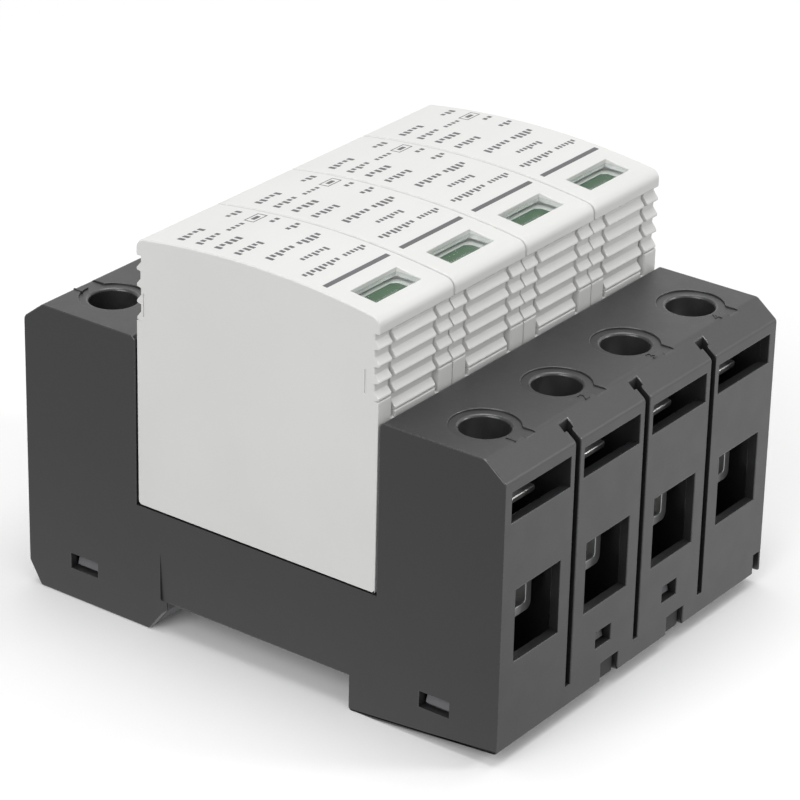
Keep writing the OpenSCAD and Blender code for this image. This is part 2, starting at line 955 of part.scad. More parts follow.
// The front electrode lies on the varistor's -X face, and the rear one on its +X face
module electrode(i, side) {
    face = varistor_half + grip_gap;
    back = face + plate_sheet;
    tab_top = tab_low + plate_sheet;
    blade_out = -blade_y - blade_sheet / 2;
    blade_in = blade_sheet / 2 - blade_y;
    outline = rounded([
        [-plate_half, plate_low, varistor_corner],
        [plate_half, plate_low, varistor_corner],
        [plate_half, plate_top, varistor_corner],
        [-plate_half, plate_top, varistor_corner]
    ]);
    color(tin) at_pole(i) rotate([0, 0, side == front ? 0 : 180]) {
        prism_x(outline, -back, -face);
        span([-back, -tail_out, tab_low], [-face, -tail_in, plate_low + 2 * varistor_corner]);
        span([-back, -tail_out, tab_low], [blade_half, blade_in, tab_top]);
        span([-blade_half, blade_out, blade_tip], [blade_half, blade_in, tab_top]);
    }
}

base_housing();
bottom_cover();
for (i = latch_poles) {
    rail_latch(i);
    latch_spring(i);
}
for (side = ends) for (i = indices) {
    place = str(end_name(side), "_", i);
    contact_strip(i, side);
    clamp_cage(i, side);
    terminal_screw(i, side);
    electrode(i, side);
}
for (i = indices) {
    cartridge_shell(i);
    cartridge_carrier(i);
    window_lens(i);
    status_flag(i);
    varistor(i);
}
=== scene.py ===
"""Finishes the solids of a pluggable rail surge arrester.

Rounds and grains the mouldings, plates the metal, winds the springs and threads, and adds the
print, the pole numerals and the masks under the windows. Lengths are in metres.
"""

import json
import math

import bmesh
import bpy
from bpy.props import FloatProperty, FloatVectorProperty, IntProperty, PointerProperty
from bpy.types import Operator, Panel, PropertyGroup
from mathutils import Matrix, Vector
from mathutils.bvhtree import BVHTree
from mathutils.geometry import intersect_point_line

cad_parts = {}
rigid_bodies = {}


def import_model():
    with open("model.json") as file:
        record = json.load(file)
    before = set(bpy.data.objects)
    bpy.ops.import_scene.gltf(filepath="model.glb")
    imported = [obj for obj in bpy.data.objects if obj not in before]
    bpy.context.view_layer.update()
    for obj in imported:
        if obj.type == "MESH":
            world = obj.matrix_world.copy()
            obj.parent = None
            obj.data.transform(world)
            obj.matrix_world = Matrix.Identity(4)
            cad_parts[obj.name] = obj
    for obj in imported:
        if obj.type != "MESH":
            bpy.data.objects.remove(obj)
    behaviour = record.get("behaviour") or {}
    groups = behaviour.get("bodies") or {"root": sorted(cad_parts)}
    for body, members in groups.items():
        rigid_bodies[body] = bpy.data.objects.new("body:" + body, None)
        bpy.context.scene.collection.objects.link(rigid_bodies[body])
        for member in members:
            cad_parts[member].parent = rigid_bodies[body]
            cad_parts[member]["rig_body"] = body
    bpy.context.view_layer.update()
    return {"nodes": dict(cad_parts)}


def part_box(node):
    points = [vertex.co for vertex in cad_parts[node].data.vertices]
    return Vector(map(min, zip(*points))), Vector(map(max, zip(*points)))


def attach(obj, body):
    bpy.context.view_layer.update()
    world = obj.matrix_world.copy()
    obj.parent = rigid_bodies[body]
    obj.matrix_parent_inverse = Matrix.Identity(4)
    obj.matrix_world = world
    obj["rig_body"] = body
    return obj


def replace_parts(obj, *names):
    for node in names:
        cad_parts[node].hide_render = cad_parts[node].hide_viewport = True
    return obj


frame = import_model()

bl_info = {
    "name": "Rail surge arrester",
    "version": (1, 0, 0),
    "blender": (4, 5, 0),
    "location": "3D View > Sidebar > Arrester",
    "description": "Finishes the solids of a pluggable rail surge arrester",
    "category": "Object",
}

NODES = frame["nodes"]
MM = 0.001
WHITE = (1.0, 1.0, 1.0, 1.0)
POLES = (1, 2, 3, 4)
LATCH_POLES = (2, 3)
TERMINALS = tuple(f"{end}_{pole}" for end in ("front", "rear") for pole in POLES)

# Rounding of edges
MERGE_GAP = 0.002 * MM  # points as close as this are one
FLAT_ANGLE = math.radians(0.2)  # faces that turn less are one flat
EDGE_ANGLE = math.radians(32)  # edges that turn this much or more are rounded
ROOM_SHARE = 0.45  # share of a face's room that one rounding may take
ACROSS = 0.5  # a way counts as across a face when this share of it leads straight inward
LEAST_ROUND = 0.02 * MM  # smaller roundings are left out
LEAST_EASE = 0.001 * MM  # a round of easing that changes less is the last
SLIDE = 1.6  # how many roundings a corner may slide along the edge beside it
SLIDE_SHARE = 0.7  # share of a sharp edge that a corner may slide along
ROUND_STEPS = 2
SKIN_GAP = 0.001 * MM  # points further off the solid's skin are taken back to it
FLAT_REACH = math.cos(math.radians(31))  # flats that turn less are shaded as one
ROUND_REACH = math.cos(math.radians(50))  # rounded edges that turn less are shaded as one
DIPPED = 4  # how many inner roundings a varistor's coat is rounded by

# Wound wires and the screws' heads and shanks
COIL_STEPS, COIL_SIDES = 28, 10
THREAD_STEPS, THREAD_SIDES = 32, 4
HEAD_HEIGHT = 3.0 * MM
CREST_RADIUS = 2.4 * MM
SEAT_PLAY = 0.02 * MM  # points this close below the head still belong to it
THREAD_START = 0.6 * MM  # height at which the thread begins
THREAD_SPARE = 1.4 * MM  # length of the shank that has no thread
RIDGE_SHARE = 0.62  # half the ridge's thickness, as a share of the thread's depth

# Rows of small blocks printed on a cartridge's crown: first x, last x, y, block height and pitch,
# in millimetres
PRINT_ROWS = (
    (-6.9, 1.6, -7.3, 1.25, 0.92),
    (2.6, 7.7, -7.3, 1.25, 0.92),
    (-2.8, 3.4, -3.7, 1.2, 0.92),
    (-5.8, 0.6, 0.2, 1.45, 1.06),
    (1.4, 6.7, 0.2, 1.45, 1.06),
    (-7.1, -1.0, 5.0, 1.3, 1.1),
    (4.7, 8.0, 5.0, 1.2, 1.1),
    (-7.0, -1.2, 8.8, 1.3, 1.1),
    (5.7, 8.0, 8.8, 1.2, 1.1),
    (-7.0, -1.6, 12.3, 1.3, 1.1),
    (-0.4, 3.6, 12.0, 1.2, 0.95),
    (-6.9, -1.2, 15.9, 1.3, 1.1),
    (4.3, 7.5, 16.0, 1.2, 1.1),
)
# Single marks printed there: x, y, width and height, in millimetres
PRINT_MARKS = (
    (0.2, -11.4, 15.0, 0.9),
    (6.1, 11.15, 3.4, 0.2),
    (6.1, 12.85, 3.4, 0.2),
    (4.5, 12.0, 0.2, 1.9),
    (7.7, 12.0, 0.2, 1.9),
    (6.1, 12.0, 1.6, 0.75),
)
BLOCK_SHARE = 0.62  # width of a block, as a share of its pitch
BLOCK_CORNER = 0.16  # width of the disc that rounds a block's corners, in millimetres
BLOCK_SIDES = 12
LOW_CHANCE = 0.6  # chance that a block in a row is a low one
FONT_SHARE = 1.4  # font size of a numeral, as a share of its height
FONT_STEPS = 4

# Finishes
NOISE_SPAN = (0.3, 0.7)  # where most of a noise lies
PIT_SCALE = 0.37  # scale of the pits in a grain, as a share of the grain's
GLOSS_PACE = 4.0  # how many times as fast as tone gloss drifts
RIM_LIFT, RIM_GAIN = 0.06, 1.2  # how much paler a rim of plastic is, partly wear and partly painted highlight
RIM_POLISH = 0.26  # how much smoother it is
DUST = (0.52, 0.51, 0.49, 1.0)
PLASTIC_RELIEF = 0.05 * MM
METAL_RELIEF = 0.02 * MM
METAL_DEPTH = 0.12
METAL_TONES = (0.86, 1.05)
STREAK_STRETCH = (1.0, 0.06, 1.0)
TIN_BLUR = (-0.4 * MM, 0.1 * MM)  # from where to where the strips' painted shade turns to tin
WINDOW_TINT = (0.97, 0.98, 0.98, 1.0)
WINDOW_SHADE = (0.96, 0.97, 0.97, 1.0)
WINDOW_CLEAR = 0.8  # share of light that passes a window unbent

# Stage: place and width of each lamp, the point they face, the floor, and the photograph's camera
LAMPS = {
    "top_lamp": ((0.05, -0.05, 1.2), 1.0),
    "front_lamp": ((0.6, -0.85, 0.62), 0.3),
    "side_lamp": ((-1.0, -0.05, 0.6), 1.0),
}
LAMP_AIM = Vector((0.0, 0.0, 0.03))
FLOOR_HALF = 3.0
FLOOR_DROP = 0.05 * MM
FLOOR_DIM = 0.995  # darkest tone of the floor's grain
FLOOR_FADE = (0.08, 0.45)  # distances between which the floor fades to plain white
FLOOR_ACROSS = 6.0  # falloff over a metre of floor
CAMERA_SENSOR = 36.0
CAMERA_LENS = 161.76
CAMERA_SHIFT = (-0.0128, -0.0710)
CAMERA_SPOT = (-0.403433, -0.296052, 0.273433)
CAMERA_AXES = (
    (0.597523, -0.801552, 0.021902),
    (0.325237, 0.267236, 0.907086),
    (-0.732930, -0.534882, 0.420374),
)


# Sizes, colours and light

def tint(code):
    """The linear colour of a six-digit code, by the sRGB curve."""
    shares = [int(code[k:k + 2], 16) / 255 for k in (0, 2, 4)]
    return tuple(s / 12.92 if s <= 0.04045 else ((s + 0.055) / 1.055) ** 2.4 for s in shares)


def scaled(colour, factor):
    return tuple(min(1.0, c * factor) for c in colour[:3]) + (1.0,)


def level(name, description, default, **more):
    return FloatProperty(name=name, description=description, default=default, min=0.0, **more)


def length(name, description, default):
    return level(name, description, default * MM, unit="LENGTH", precision=5)


def power(name, description, default):
    return level(name, description, default, subtype="POWER")


def colour(name, description, code):
    return FloatVectorProperty(
        name=name, description=description, default=tint(code),
        size=3, min=0.0, max=1.0, subtype="COLOR",
    )


class ArresterSizes(PropertyGroup):
    """Small sizes that the finish adds to the solids, written in millimetres."""

    housing_round: length("Housing edge", "Rounding of the housing's edges", 0.22)
    cover_round: length("Cover edge", "Rounding of the bottom cover's edges", 0.15)
    shell_round: length("Cartridge edge", "Rounding of a cartridge's edges", 0.28)
    inner_round: length("Inner edge", "Rounding of the pieces inside a cartridge", 0.15)
    metal_round: length("Metal edge", "Rounding of cages, screws and blades", 0.12)
    strip_round: length("Strip edge", "Rounding of the contact strips' edges", 0.35)
    # the strips are painted dark below this height, as shade inside the terminals
    shaded_below: length("Tinned from", "Height from which the strips are bright tin", 37.0)
    thread_pitch: length("Thread pitch", "Rise of a screw's thread in one turn", 0.8)
    thread_depth: length("Thread depth", "Depth of a terminal screw's thread", 0.36)
    spring_wire: length("Spring wire", "Radius of a latch spring's wire", 0.18)
    spring_turns: IntProperty(
        name="Spring turns", description="Turns of a latch spring", default=9, min=3,
    )
    ink: length("Ink", "Height of the print above the crown", 0.005)
    mask_gap: length("Mask gap", "Gap between a window and the white mask under it", 0.01)
    mask_sheet: length("Mask", "Thickness of the white mask under a window", 0.05)
    mask_edge: length("Mask edge", "Width of the mask at its front and left", 1.2)
    mask_back: length("Mask back", "Width of the mask at its back", 1.35)
    mask_side: length("Mask side", "Width of the mask at its right", 2.0)
    mask_corner: length("Mask corner", "Cut corner of the mask's opening", 0.8)
    crown_rise: length("Crown rise", "Rise of a crown from its ends to its middle", 1.8)
    numeral: length("Numeral", "Height of the numerals beside the screw wells", 1.8)
    numeral_depth: length("Numeral depth", "Half the thickness of the numerals", 0.4)
    numeral_rise: length("Numeral rise", "Rise of the numerals above the block", 0.12)
    numeral_out: length("Numeral out", "Distance from the wells, towards the end", 5.8)
    numeral_aside: length("Numeral aside", "Distance from the poles' middles", 1.6)


class ArresterColours(PropertyGroup):
    """Colours of the finishes."""

    housing: colour("Housing", "Moulded plastic of the housing", "212123")
    cover: colour("Cover", "Moulded plastic of the bottom cover", "242426")
    latch: colour("Latch", "Moulded plastic of the rail latches", "1d1d1f")
    shell: colour("Cartridge", "Moulded plastic of the cartridges", "dededc")
    flag: colour("Flag", "Status flag of a working cartridge", "1f4e27")
    carrier: colour("Carrier", "Plastic carrier, seen once the flag moves away", "b5241c")
    coat: colour("Varistor", "Dipped coat of the varistors", "1f3f86")
    # the tin is near white and the strips' finish has no metallic, so their bright reflection is
    # painted into their colour
    tin: colour("Tin", "Tin plate of the contact strips", "f8f7f4")
    zinc: colour("Zinc", "Zinc plate of the screws", "c6c9c8")
    # painted shade: the strips' low part, inside the terminals, is coloured near black
    painted_low_shade: colour("Bare strip", "Dull plate of the strips inside the terminals", "2c2d2e")
    # painted shade: the zinc-plated cages are coloured near black, as they look in the shade of the
    # wire entries
    cage: colour("Cage", "Zinc plate of the clamp cages", "17191a")
    spring: colour("Spring", "Drawn steel of the latch springs", "a4a6a8")
    ink: colour("Ink", "Print on the cartridges", "5c5c5f")


class ArresterStage(PropertyGroup):
    """Light and floor."""

    ambient: level("Ambient", "Strength of the light from all round", 0.42)
    top_lamp: power("Top lamp", "Lamp above", 6.4)
    front_lamp: power("Front lamp", "Lamp before the front", 3.0)
    side_lamp: power("Side lamp", "Lamp at the side", 6.8)
    floor: colour("Floor", "Colour of the floor", "ffffff")
    mirrored: level("Mirrored", "Strength of the floor in mirrored light", 1.15)
    bounce: level("Bounce", "Share of light the floor throws back", 0.42, max=1.0)


# Node trees

SOCKET_KINDS = {float: "NodeSocketFloat", int: "NodeSocketInt"}
GEOMETRY = "NodeSocketGeometry"


class Wiring:
    """A node tree under construction."""

    def __init__(self, tree):
        self.tree = tree

    def feed(self, socket, value):
        if isinstance(value, bpy.types.NodeSocket):
            self.tree.links.new(value, socket)
        else:
            socket.default_value = value

    def node(self, kind, values=None, **settings):
        made = self.tree.nodes.new(kind)
        for key, value in settings.items():
            setattr(made, key, value)
        for key, value in (values or {}).items():
            self.feed(made.inputs[key], value)
        return made

    def group(self, tree, values):
        return self.node("ShaderNodeGroup", values, node_tree=tree).outputs

    def spot(self):
        return self.node("ShaderNodeTexCoord").outputs["Object"]

    def axis(self, vector, index):
        return self.node("ShaderNodeSeparateXYZ", {0: vector}).outputs[index]

    def math(self, operation, *values, clamp=False):
        settings = {"operation": operation, "use_clamp": clamp}
        return self.node("ShaderNodeMath", dict(enumerate(values)), **settings).outputs[0]

    def times(self, first, second):
        return self.math("MULTIPLY", first, second)

    def weighed(self, first, share, second, other):
        """The sum of two values, each times its share."""
        return self.math("ADD", self.times(first, share), self.times(second, other))

    def drifting(self, value, middle, drift):
        """A level that drifts about its middle as a value goes from 0 to 1."""
        return self.math("MULTIPLY_ADD", value, drift, middle - drift / 2)

    def mixed(self, share, first, second):
        made = self.node("ShaderNodeMix", data_type="RGBA")
        for index, value in ((0, share), (6, first), (7, second)):
            self.feed(made.inputs[index], value)
        return made.outputs[2]

    def noise(self, place, scale, detail=2.0, roughness=0.5):
        values = {"Vector": place, "Scale": scale, "Detail": detail, "Roughness": roughness}
        return self.node("ShaderNodeTexNoise", values, noise_dimensions="3D").outputs[0]

    def ranged(self, value, low, high, to_low=0.0, to_high=1.0):
        values = {
            "Value": value, "From Min": low, "From Max": high, "To Min": to_low, "To Max": to_high,
        }
        made = self.node("ShaderNodeMapRange", values, interpolation_type="SMOOTHSTEP")
        return made.outputs[0]

    def shared(self, share, first, second):
        """Two shaders mixed."""
        values = {0: share, 1: first.outputs[0], 2: second.outputs[0]}
        return self.node("ShaderNodeMixShader", values)

    def show(self, shader):
        self.feed(self.tree.nodes["Material Output"].inputs["Surface"], shader.outputs[0])


def new_group(name, tree_kind, inputs, outputs):
    """An empty node group: its wiring, its input node and its output node.

    Its sockets are given by name, each with its default or else with its kind.
    """
    tree = bpy.data.node_groups.new(name, tree_kind)
    for side, sockets in (("INPUT", inputs), ("OUTPUT", outputs)):
        for label, given in sockets.items():
            kind = SOCKET_KINDS.get(type(given), given)
            made = tree.interface.new_socket(name=label, in_out=side, socket_type=kind)
            if kind != given:
                made.default_value = given
    return Wiring(tree), tree.nodes.new("NodeGroupInput"), tree.nodes.new("NodeGroupOutput")


def shader_group(name, inputs, outputs, fill):
    """A shader group of float sockets, built once. fill wires it and returns its outputs."""
    found = bpy.data.node_groups.get(name)
    if found:
        return found
    results = dict.fromkeys(outputs, SOCKET_KINDS[float])
    net, start, end = new_group(name, "ShaderNodeTree", inputs, results)
    for label, socket in fill(net, start.outputs).items():
        net.tree.links.new(socket, end.inputs[label])
    return net.tree


def moulded_grain():
    """Fine spark-eroded grain of a mould, with slow drifts of tone and gloss."""
    def fill(net, values):
        spot = net.spot()
        coarse = net.times(values["Grain"], PIT_SCALE)
        quick = net.times(values["Drift"], GLOSS_PACE)
        fine = net.noise(spot, values["Grain"], detail=3.0, roughness=0.65)
        pits = net.noise(spot, coarse, detail=1.0)
        drift = net.noise(spot, values["Drift"], detail=3.0)
        return {
            "Height": net.weighed(fine, 0.7, pits, 0.5),
            "Tone": net.ranged(net.weighed(drift, 0.75, fine, 0.25), *NOISE_SPAN),
            "Gloss": net.ranged(net.noise(spot, quick), *NOISE_SPAN),
        }
    sockets = {"Grain": 5200.0, "Drift": 60.0}
    return shader_group("moulded_grain", sockets, ("Height", "Tone", "Gloss"), fill)


def edge_burnish():
    """A mask of the rounded edges, uneven in patches: it marks their wear and their painted
    highlight.
    """
    def fill(net, values):
        settings = {"attribute_type": "GEOMETRY", "attribute_name": "rim"}
        rim = net.node("ShaderNodeAttribute", **settings).outputs["Fac"]
        rim_patches = net.noise(net.spot(), values["Rub"], detail=3.0)
        uneven = net.ranged(rim_patches, *NOISE_SPAN, to_low=0.35)
        return {"Mask": net.math("MULTIPLY", rim, uneven, clamp=True)}
    return shader_group("edge_burnish", {"Rub": 420.0}, ("Mask",), fill)


def settled_dust():
    """A mask of fine dust on faces that look up."""
    def fill(net, values):
        normal = net.node("ShaderNodeNewGeometry").outputs["Normal"]
        lying = net.ranged(net.axis(normal, 2), low=0.55, high=0.98)
        fine = net.noise(net.spot(), values["Specks"], detail=4.0, roughness=0.7)
        specks = net.ranged(fine, low=0.5, high=0.8)
        return {"Mask": net.math("MULTIPLY", lying, specks, clamp=True)}
    return shader_group("settled_dust", {"Specks": 900.0}, ("Mask",), fill)


def rolled_streaks():
    """Streaks of rolled and plated metal along Y, with fine crystals in the plating."""
    def fill(net, values):
        spot = net.spot()
        drawn = net.node("ShaderNodeMapping", {"Vector": spot, "Scale": STREAK_STRETCH})
        streak = net.noise(drawn.outputs[0], values["Streaks"], detail=4.0, roughness=0.6)
        cells = net.node("ShaderNodeTexVoronoi", {"Vector": spot, "Scale": values["Crystals"]})
        crystal = cells.outputs["Distance"]
        return {
            "Height": net.weighed(streak, 1.0, crystal, 0.2),
            "Tone": net.ranged(net.weighed(streak, 0.8, crystal, 0.3), low=0.3, high=0.8),
        }
    sockets = {"Streaks": 2600.0, "Crystals": 3000.0}
    return shader_group("rolled_streaks", sockets, ("Height", "Tone"), fill)


def studio_falloff():
    """How bright the studio mirrors, darker to the left, where Across is below 0."""
    def fill(net, values):
        return {"Tone": net.ranged(values["Across"], low=-0.7, high=0.5, to_low=0.45)}
    return shader_group("studio_falloff", {"Across": 0.0}, ("Tone",), fill)


# Finishes

def new_finish(name):
    """A new material, its wiring and its shader."""
    made = bpy.data.materials.new(name)
    made.use_nodes = True
    return made, Wiring(made.node_tree), made.node_tree.nodes["Principled BSDF"]


def surface(net, shader, hue, roughness, height, strength, relief):
    """Gives a shader its colour, roughness and relief."""
    bump = net.node("ShaderNodeBump", {"Strength": strength, "Distance": relief, "Height": height})
    net.feed(shader.inputs["Base Color"], hue)
    net.feed(shader.inputs["Roughness"], roughness)
    net.feed(shader.inputs["Normal"], bump.outputs[0])


def plastic(
    name, base, roughness, depth, grain=5200.0, spread=0.05, rim=0.25, dust=0.03, sheen=0.5
):
    """Moulded plastic with grain, a paler rim that is partly wear and partly painted highlight, and
    a breath of dust.
    """
    made, net, shader = new_finish(name)
    grained = net.group(moulded_grain(), {"Grain": grain, "Drift": 60.0})
    wear_and_highlight = net.group(edge_burnish(), {"Rub": 420.0})["Mask"]
    dusty = net.group(settled_dust(), {"Specks": 900.0})["Mask"]
    tone = net.mixed(grained["Tone"], scaled(base, 1 - spread), scaled(base, 1 + spread))
    # paler rim: partly wear, partly painted highlight on the rounded edges
    paler = scaled([c + RIM_LIFT for c in base[:3]], RIM_GAIN)
    edged = net.mixed(net.times(wear_and_highlight, rim), tone, paler)
    dusted = net.mixed(net.times(dusty, dust), edged, DUST)
    gloss = net.drifting(grained["Gloss"], roughness, drift=0.04)
    worn = net.math("SUBTRACT", gloss, net.times(wear_and_highlight, RIM_POLISH))
    surface(net, shader, dusted, worn, grained["Height"], depth, PLASTIC_RELIEF)
    shader.inputs["Specular IOR Level"].default_value = sheen
    return made


def plated(name, base, roughness, metallic=1.0, rim=0.4, painted_low_shade=None, glance=1.0):
    """Plated or drawn metal with streaks and bright edges, partly wear and partly painted glint.

    The optional pair is a dark hue, painted as shade on the low part inside the terminals, and the
    height at which it ends.
    """
    made, net, shader = new_finish(name)
    streaks = net.group(rolled_streaks(), {"Streaks": 2600.0, "Crystals": 3000.0})
    wear_and_highlight = net.group(edge_burnish(), {"Rub": 600.0})["Mask"]
    tone = net.mixed(streaks["Tone"], *(scaled(base, share) for share in METAL_TONES))
    # bright edges: partly wear, partly painted glint
    bright = scaled([c + 1.0 for c in base[:3]], 0.5)  # halfway to white
    hue = net.mixed(net.times(wear_and_highlight, rim), tone, bright)
    # painted shade: the metal turns to the dark hue below the given height
    if painted_low_shade:
        shade_hue, end = painted_low_shade
        tinned = net.ranged(net.axis(net.spot(), 2), *(end + blur for blur in TIN_BLUR))
        hue = net.mixed(tinned, scaled(shade_hue, 1.0), hue)
    gloss = net.drifting(streaks["Tone"], roughness, drift=0.16)
    surface(net, shader, hue, gloss, streaks["Height"], METAL_DEPTH, METAL_RELIEF)
    shader.inputs["Metallic"].default_value = metallic
    shader.inputs["Specular Tint"].default_value = (glance, glance, glance, 1.0)
    return made


def clear_plastic(name, base, roughness, depth):
    """Clear moulded acrylic with a faint ripple."""
    made, net, shader = new_finish(name)
    grained = net.group(moulded_grain(), {"Grain": 700.0, "Drift": 90.0})
    gloss = net.drifting(grained["Gloss"], roughness, drift=0.05)
    surface(net, shader, base, gloss, grained["Height"], depth, METAL_RELIEF)
    shader.inputs["Transmission Weight"].default_value = 1.0
    shader.inputs["IOR"].default_value = 1.49
    shader.inputs["Specular IOR Level"].default_value = 0.25
    lit = net.node("ShaderNodeLightPath").outputs["Is Shadow Ray"]
    through = net.node("ShaderNodeBsdfTransparent", {"Color": WINDOW_SHADE})
    net.show(net.shared(net.math("MAXIMUM", lit, WINDOW_CLEAR), shader, through))
    return made


def finishes():
    """The name, maker, colour and values of each slot's finish, and of the print's."""
    hues = bpy.context.scene.arrester_colours
    # the strips' painted shade: its dark hue and the height where it ends
    painted_low_shade = (hues.painted_low_shade, bpy.context.scene.arrester_sizes.shaded_below)
    return {
        "base_plastic": ("housing_plastic", plastic, hues.housing, dict(
            roughness=0.46, grain=4200.0, depth=0.35, rim=0.3, sheen=0.9)),
        "cover_plastic": ("cover_plastic", plastic, hues.cover, dict(
            roughness=0.7, grain=4200.0, depth=0.35, sheen=0.1)),
        "latch_plastic": ("latch_plastic", plastic, hues.latch, dict(
            roughness=0.55, depth=0.2, spread=0.08, rim=0.2, sheen=0.2)),
        "shell_white": ("cartridge_plastic", plastic, hues.shell, dict(
            roughness=0.42, grain=6500.0, depth=0.12, spread=0.015, rim=0.0, dust=0.02)),
        "flag_green": ("flag_plastic", plastic, hues.flag, dict(
            roughness=0.6, grain=6000.0, depth=0.15, spread=0.06, rim=0.1, dust=0.0, sheen=0.15)),
        "carrier_red": ("carrier_plastic", plastic, hues.carrier, dict(
            roughness=0.48, depth=0.2, spread=0.06, rim=0.15)),
        "varistor_coat": ("varistor_coat", plastic, hues.coat, dict(
            roughness=0.3, grain=1500.0, depth=0.5, spread=0.1, rim=0.1)),
        # contact strips: near-white tin without metallic, a painted reflection, and painted shade
        # on their low part
        "contact_tin": ("contact_tin", plated, hues.tin, dict(
            roughness=0.4, metallic=0.0, painted_low_shade=painted_low_shade)),
        "electrode_tin": ("electrode_tin", plated, hues.tin, dict(roughness=0.4, metallic=0.5)),
        # the cage is painted near black as shade, with its edges painted bright as glints and its
        # specular tint dimmed
        "cage_zinc": ("cage_zinc", plated, hues.cage, dict(roughness=0.38, rim=0.9, glance=0.2)),
        "screw_zinc": ("screw_zinc", plated, hues.zinc, dict(roughness=0.32)),
        "spring_steel": ("spring_steel", plated, hues.spring, dict(roughness=0.28)),
        "lens_clear": ("window_clear", clear_plastic, WINDOW_TINT, dict(
            roughness=0.055, depth=0.01)),
        "print": ("cartridge_ink", plastic, hues.ink, dict(
            roughness=0.5, grain=9000.0, depth=0.1, spread=0.1, rim=0.0, dust=0.0)),
    }


def finish(slot):
    """The material of a slot, made when it is first asked for."""
    name, make, base, values = finishes()[slot]
    return bpy.data.materials.get(name) or make(name, base, **values)


# Meshes

def place(name, data):
    made = bpy.data.objects.new(name, data)
    bpy.context.scene.collection.objects.link(made)
    return made


def settled(made):
    """The evaluated mesh of an object, and the object gone."""
    graph = bpy.context.evaluated_depsgraph_get()
    mesh = bpy.data.meshes.new_from_object(
        made.evaluated_get(graph), preserve_all_data_layers=True, depsgraph=graph
    )
    bpy.data.objects.remove(made)
    return mesh


def as_mesh(name, shape):
    """A mesh of the shape, and the shape freed."""
    mesh = bpy.data.meshes.new(name)
    shape.to_mesh(mesh)
    shape.free()
    return mesh


def merged_copy(node):
    """A node's mesh with its triangles joined into whole faces."""
    shape = bmesh.new()
    shape.from_mesh(NODES[node].data)
    bmesh.ops.remove_doubles(shape, verts=shape.verts, dist=MERGE_GAP)
    bmesh.ops.dissolve_limit(
        shape, angle_limit=FLAT_ANGLE, use_dissolve_boundaries=False,
        verts=shape.verts, edges=shape.edges,
    )
    return shape


def gap_between(point, start, end):
    """The shortest way from a point to a line between two others."""
    near, share = intersect_point_line(point, start, end)
    return (start if share < 0 else end if share > 1 else near) - point


def room_inside(loop):
    """How far a face reaches inward from one of its edges before it meets another."""
    start, end = loop.vert, loop.link_loop_next.vert
    inward = loop.face.normal.cross(end.co - start.co).normalized()
    room = math.inf
    for other in loop.face.loops:
        first, last = other.vert, other.link_loop_next.vert
        if {first, last} & {start, end}:
            continue
        for way in (
            -gap_between(first.co, start.co, end.co),
            -gap_between(last.co, start.co, end.co),
            gap_between(start.co, first.co, last.co),
            gap_between(end.co, first.co, last.co),
        ):
            if way.dot(inward) > ACROSS * way.length:
                room = min(room, way.length)
    return room


def slide_room(edge, widths, rounding):
    """The widest rounding of an edge that meets those of the edges beside it near their corner."""
    room = rounding
    most = SLIDE * rounding
    for loop in edge.link_loops:
        after = loop.link_loop_next
        for corner, beside in ((loop, loop.link_loop_prev.edge), (after, after.edge)):
            other = widths.get(beside, 0.0)
            reach = most if other else min(most, SLIDE_SHARE * beside.calc_length())
            turn = corner.calc_angle()
            share = reach * math.sin(turn)
            lean = math.cos(turn)
            room = min(room, max(share - other * lean, share / (1 + max(0.0, lean))))
    return room


def weigh_edges(shape, rounding):
    """Marks the outer edges to be rounded, less where room is short, and keeps the others sharp."""
    weight = shape.edges.layers.float.new("bevel_weight_edge")
    widths = {}
    for face in shape.faces:
        face.smooth = True
    for edge in shape.edges:
        angle = edge.calc_face_angle_signed(0.0) if len(edge.link_faces) == 2 else 0.0
        edge.smooth = abs(angle) < EDGE_ANGLE
        if angle >= EDGE_ANGLE:
            widths[edge] = min(rounding, ROOM_SHARE * min(map(room_inside, edge.link_loops)))
    eased = True
    while eased:
        eased = False
        for edge, width in list(widths.items()):
            room = slide_room(edge, widths, rounding)
            if room < LEAST_ROUND:
                del widths[edge]
            elif room < width:
                widths[edge] = room
            eased = eased or room < width - LEAST_EASE
    for edge, width in widths.items():
        edge[weight] = width / rounding
        edge.smooth = True


def rounded_mesh(name, shape, rounding):
    """The shape with its marked edges rounded. The attribute rim is 1 on those edges."""
    skin = BVHTree.FromBMesh(shape)
    mesh = as_mesh(name, shape)
    rough = place(name + "_rough", mesh)
    for label in ("rough_face", "rough_rim"):
        mesh.materials.append(bpy.data.materials.get(label) or bpy.data.materials.new(label))
    bevel = rough.modifiers.new("edges", "BEVEL")
    bevel.limit_method = "WEIGHT"
    bevel.offset_type = "OFFSET"
    bevel.width = rounding
    bevel.segments = ROUND_STEPS
    bevel.use_clamp_overlap = False
    bevel.loop_slide = False
    bevel.material = 1
    made = settled(rough)
    hold_in(made, skin)
    marks = [0] * len(made.polygons)
    made.polygons.foreach_get("material_index", marks)
    rim = made.attributes.new("rim", "FLOAT", "FACE")
    rim.data.foreach_set("value", [float(mark) for mark in marks])
    made.polygons.foreach_set("material_index", [0] * len(marks))
    made.materials.clear()
    made.name = name
    shade(made, marks)
    return made


def hold_in(mesh, skin):
    """Takes points that the rounding threw off the solid's skin back to it."""
    for vert in mesh.vertices:
        near, normal, _, gap = skin.find_nearest(vert.co)
        if gap > SKIN_GAP and (near - vert.co).dot(normal) < gap / 2:
            vert.co = near


